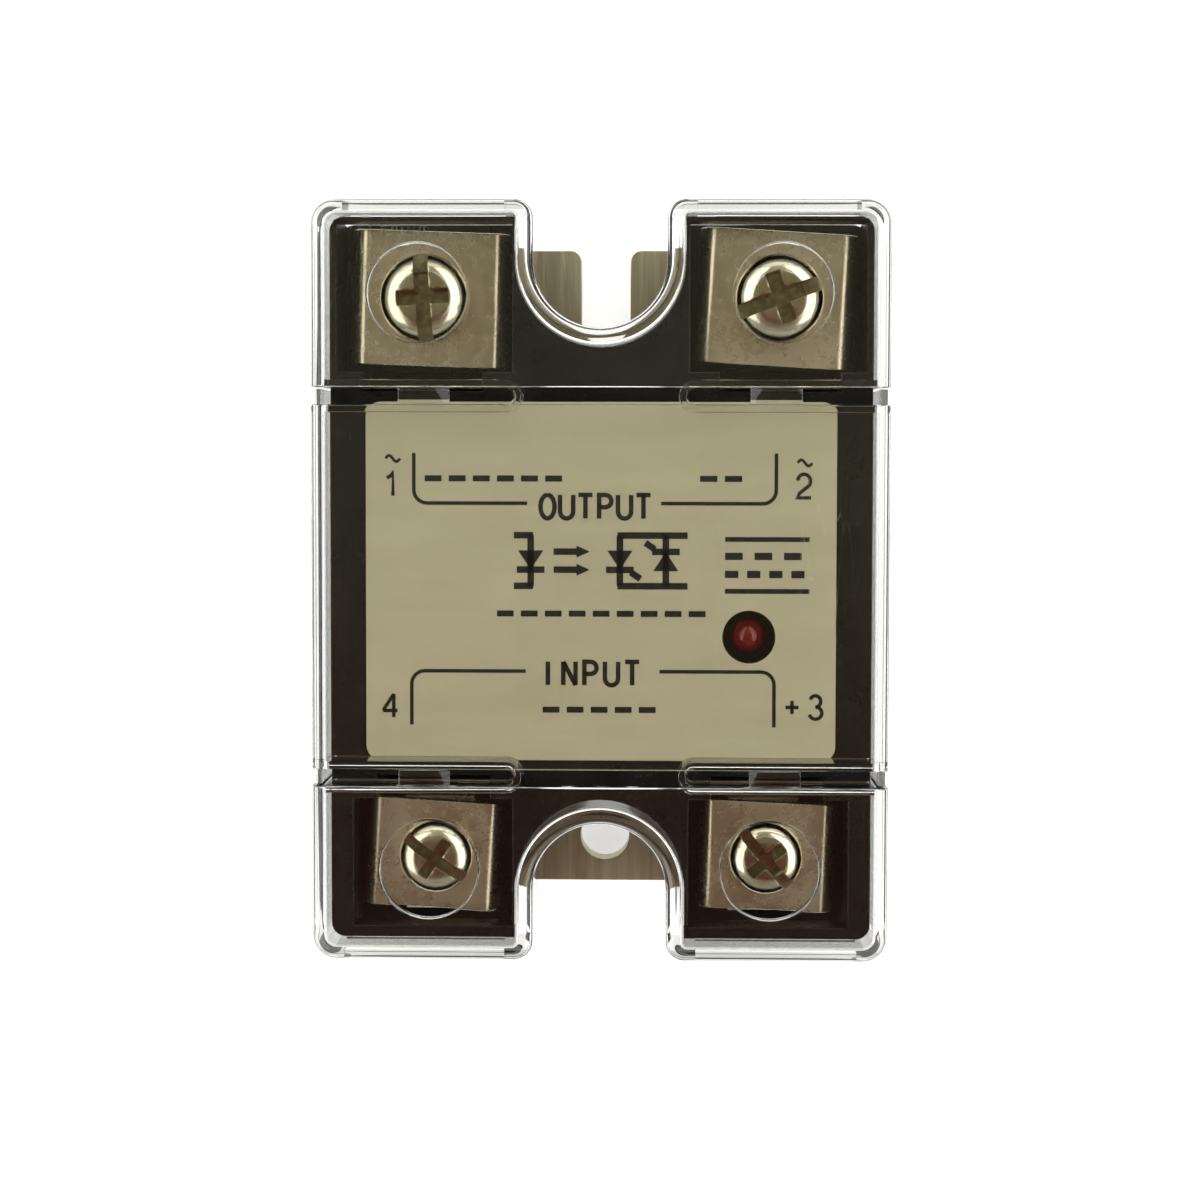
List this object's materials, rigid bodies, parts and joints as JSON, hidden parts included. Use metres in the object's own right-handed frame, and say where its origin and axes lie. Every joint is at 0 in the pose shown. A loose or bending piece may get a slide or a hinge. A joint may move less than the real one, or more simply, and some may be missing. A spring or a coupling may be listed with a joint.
{
  "type": "solid state relay",
  "caption": "Flat rectangular panel-mount relay block with a metal base plate, four screw clamp terminals, an indicator lamp and a clear clip-on cover with two hinged end flaps.",
  "frame": {"origin": "centre of the base plate's underside, in the plane that meets the heatsink", "axes": "+Z out of the label face, +Y towards the output terminals 1 and 2 and the slotted fixing, +X towards terminals 2 and 3"},
  "size_m": [0.047, 0.062, 0.0275],
  "materials": {
    "base_metal": "satin, plated",
    "housing_plastic": "fine moulded texture, slightly glossy",
    "label_film": "silver-beige printed film",
    "clear_cover": "clear moulded plastic",
    "clamp_metal": "nickel plated, stamped",
    "screw_metal": "nickel plated",
    "nut_metal": "zinc plated",
    "terminal_brass": "nickel plated brass",
    "ceramic": "white alumina",
    "copper": "bare copper",
    "silicon": "polished silicon",
    "tinned_wire": "tinned copper",
    "board": "green glass-fibre laminate",
    "package_black": "moulded epoxy",
    "capacitor_red": "epoxy dipped box",
    "resistor_green": "cement coat",
    "resistor_blue": "lacquer",
    "lamp_red": "clear red epoxy dome",
    "potting": "dark potting resin"
  },
  "bodies": {
    "relay_body": {"base_plate": "base_metal", "housing": "housing_plastic", "label": "label_film", "cover_centre": "clear_cover", "hinge_tab_output_left": "clear_cover", "hinge_tab_output_right": "clear_cover", "hinge_tab_input_left": "clear_cover", "hinge_tab_input_right": "clear_cover", "nut_1": "nut_metal", "terminal_strip_1": "terminal_brass", "nut_2": "nut_metal", "terminal_strip_2": "terminal_brass", "nut_3": "nut_metal", "terminal_strip_3": "terminal_brass", "nut_4": "nut_metal", "terminal_strip_4": "terminal_brass", "ceramic_substrate": "ceramic", "copper_pad_left": "copper", "thyristor_left": "silicon", "strap_left": "copper", "gate_lead_left": "tinned_wire", "copper_pad_right": "copper", "thyristor_right": "silicon", "strap_right": "copper", "gate_lead_right": "tinned_wire", "circuit_board": "board", "optocoupler": "package_black", "snubber_capacitor": "capacitor_red", "snubber_resistor": "resistor_green", "gate_resistor_left": "resistor_blue", "gate_resistor_right": "resistor_blue", "input_resistor": "resistor_blue", "input_diode": "package_black", "input_transistor": "package_black", "led": "lamp_red", "potting": "potting"},
    "flap_output_body": {"flap_output": "clear_cover"},
    "flap_input_body": {"flap_input": "clear_cover"},
    "clamp_1_body": {"clamp_1": "clamp_metal"},
    "screw_1_body": {"screw_1": "screw_metal"},
    "clamp_2_body": {"clamp_2": "clamp_metal"},
    "screw_2_body": {"screw_2": "screw_metal"},
    "clamp_3_body": {"clamp_3": "clamp_metal"},
    "screw_3_body": {"screw_3": "screw_metal"},
    "clamp_4_body": {"clamp_4": "clamp_metal"},
    "screw_4_body": {"screw_4": "screw_metal"}
  },
  "joints": [
    {"name": "flap_output_hinge", "type": "hinge", "parent": "relay_body", "child": "flap_output_body", "pos_m": [0, 0.01512, 0.0275], "axis": [1, 0, 0], "range_deg": [0, 120], "deforming": ["hinge_tab_output_left", "hinge_tab_output_right"]},
    {"name": "flap_input_hinge", "type": "hinge", "parent": "relay_body", "child": "flap_input_body", "pos_m": [0, -0.01603, 0.0275], "axis": [-1, 0, 0], "range_deg": [0, 120], "deforming": ["hinge_tab_input_left", "hinge_tab_input_right"]},
    {"name": "clamp_1_lift", "type": "slide", "parent": "relay_body", "child": "clamp_1_body", "axis": [0, 0, 1], "range_m": [0, 0.0028]},
    {"name": "screw_1_turn", "type": "hinge", "parent": "clamp_1_body", "child": "screw_1_body", "pos_m": [-0.0148, 0.0234, 0.0206], "axis": [0, 0, 1], "range_deg": [0, 1445]},
    {"name": "clamp_2_lift", "type": "slide", "parent": "relay_body", "child": "clamp_2_body", "axis": [0, 0, 1], "range_m": [0, 0.0028]},
    {"name": "screw_2_turn", "type": "hinge", "parent": "clamp_2_body", "child": "screw_2_body", "pos_m": [0.0148, 0.0234, 0.0206], "axis": [0, 0, 1], "range_deg": [0, 1445]},
    {"name": "clamp_3_lift", "type": "slide", "parent": "relay_body", "child": "clamp_3_body", "axis": [0, 0, 1], "range_m": [0, 0.002]},
    {"name": "screw_3_turn", "type": "hinge", "parent": "clamp_3_body", "child": "screw_3_body", "pos_m": [0.0139, -0.0235, 0.0206], "axis": [0, 0, 1], "range_deg": [0, 1445]},
    {"name": "clamp_4_lift", "type": "slide", "parent": "relay_body", "child": "clamp_4_body", "axis": [0, 0, 1], "range_m": [0, 0.002]},
    {"name": "screw_4_turn", "type": "hinge", "parent": "clamp_4_body", "child": "screw_4_body", "pos_m": [-0.0139, -0.0235, 0.0206], "axis": [0, 0, 1], "range_deg": [0, 1445]}
  ],
  "couplings": [
    {"joint": "screw_1_turn", "follows": "clamp_1_lift", "rad_per_m": 8976},
    {"joint": "screw_2_turn", "follows": "clamp_2_lift", "rad_per_m": 8976},
    {"joint": "screw_3_turn", "follows": "clamp_3_lift", "rad_per_m": 12566},
    {"joint": "screw_4_turn", "follows": "clamp_4_lift", "rad_per_m": 12566}
  ]
}
